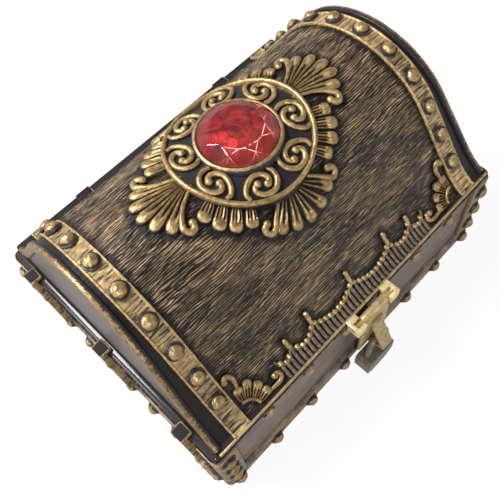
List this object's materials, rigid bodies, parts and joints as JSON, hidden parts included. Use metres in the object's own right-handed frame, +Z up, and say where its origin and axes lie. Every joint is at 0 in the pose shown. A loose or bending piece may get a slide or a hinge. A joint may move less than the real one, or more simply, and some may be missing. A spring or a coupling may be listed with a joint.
{
  "type": "treasure chest box",
  "caption": "Small keepsake chest with a vaulted, hinged lid, studded straps, a jewelled medallion, and a hasp with a hanging padlock.",
  "frame": {"origin": "centre of the underside, on the surface that the chest stands on", "axes": "+X to the right seen from the front, along the length; -Y towards the front, where the hasp is; +Z up"},
  "size_m": [0.1466, 0.1211, 0.0926],
  "materials": {
    "antique_wood": "moulded wood grain, dark with gold dry-brush",
    "satin_panel": "smooth satin brown-grey",
    "bronze_trim": "antique bronze paint, worn bright on edges",
    "dark_ground": "near-black satin",
    "ruby": "clear red, polished facets",
    "gold_brass": "pressed brass, light wear",
    "dull_brass": "dull olive brass",
    "steel": "plain drawn steel"
  },
  "bodies": {
    "base": {"back_studs": "bronze_trim", "base_hinge_leaf_left": "bronze_trim", "base_hinge_leaf_right": "bronze_trim", "base_hinge_screws": "steel", "base_plinth": "bronze_trim", "base_rim": "bronze_trim", "base_tub": "satin_panel", "corner_strap_back_left": "bronze_trim", "corner_strap_back_right": "bronze_trim", "corner_strap_front_left": "bronze_trim", "corner_strap_front_right": "bronze_trim", "corner_studs": "bronze_trim", "end_strap_left_back": "bronze_trim", "end_strap_left_front": "bronze_trim", "end_strap_left_middle": "bronze_trim", "end_strap_right_back": "bronze_trim", "end_strap_right_front": "bronze_trim", "end_strap_right_middle": "bronze_trim", "end_studs": "bronze_trim", "front_studs": "bronze_trim", "hasp_keeper": "gold_brass", "hinge_pin_left": "steel", "hinge_pin_right": "steel"},
    "lid": {"band_studs_left": "bronze_trim", "band_studs_right": "bronze_trim", "corner_fan_left": "bronze_trim", "corner_fan_right": "bronze_trim", "front_cresting": "bronze_trim", "gem_bezel": "bronze_trim", "gemstone": "ruby", "hasp_bracket_left": "gold_brass", "hasp_bracket_right": "gold_brass", "hasp_pin": "gold_brass", "lid_band_left": "bronze_trim", "lid_band_right": "bronze_trim", "lid_end_panel_left": "satin_panel", "lid_end_panel_right": "satin_panel", "lid_end_ridge_left": "bronze_trim", "lid_end_ridge_right": "bronze_trim", "lid_hinge_lug_left": "bronze_trim", "lid_hinge_lug_right": "bronze_trim", "lid_rim": "bronze_trim", "lid_shell": "antique_wood", "medallion_plate": "dark_ground", "medallion_ring": "bronze_trim", "petal_ornaments": "bronze_trim", "scroll_ornaments": "bronze_trim", "shell_ornaments": "bronze_trim"},
    "hasp": {"hasp_loop": "gold_brass", "hasp_plate": "gold_brass", "loop_rivet": "gold_brass"},
    "shackle": {"padlock_shackle": "dull_brass"},
    "padlock": {"padlock_back_shell": "dull_brass", "padlock_front_shell": "dull_brass", "padlock_rivets": "dull_brass"}
  },
  "joints": [
    {"name": "lid_hinge", "type": "hinge", "parent": "base", "child": "lid", "pos_m": [0, 0.0547, 0.041], "axis": [-1, 0, 0], "range_deg": [0, 100]},
    {"name": "hasp_swing", "type": "hinge", "parent": "lid", "child": "hasp", "pos_m": [0, -0.0562, 0.0445], "axis": [-1, 0, 0], "range_deg": [0, 120]},
    {"name": "padlock_swing", "type": "hinge", "parent": "hasp", "child": "shackle", "pos_m": [0, -0.06028, 0.02713], "axis": [-1, 0, 0], "range_deg": [-2, 60]},
    {"name": "padlock_unlock", "type": "slide", "parent": "shackle", "child": "padlock", "axis": [0, 0, -1], "range_m": [0, 0.004]}
  ]
}
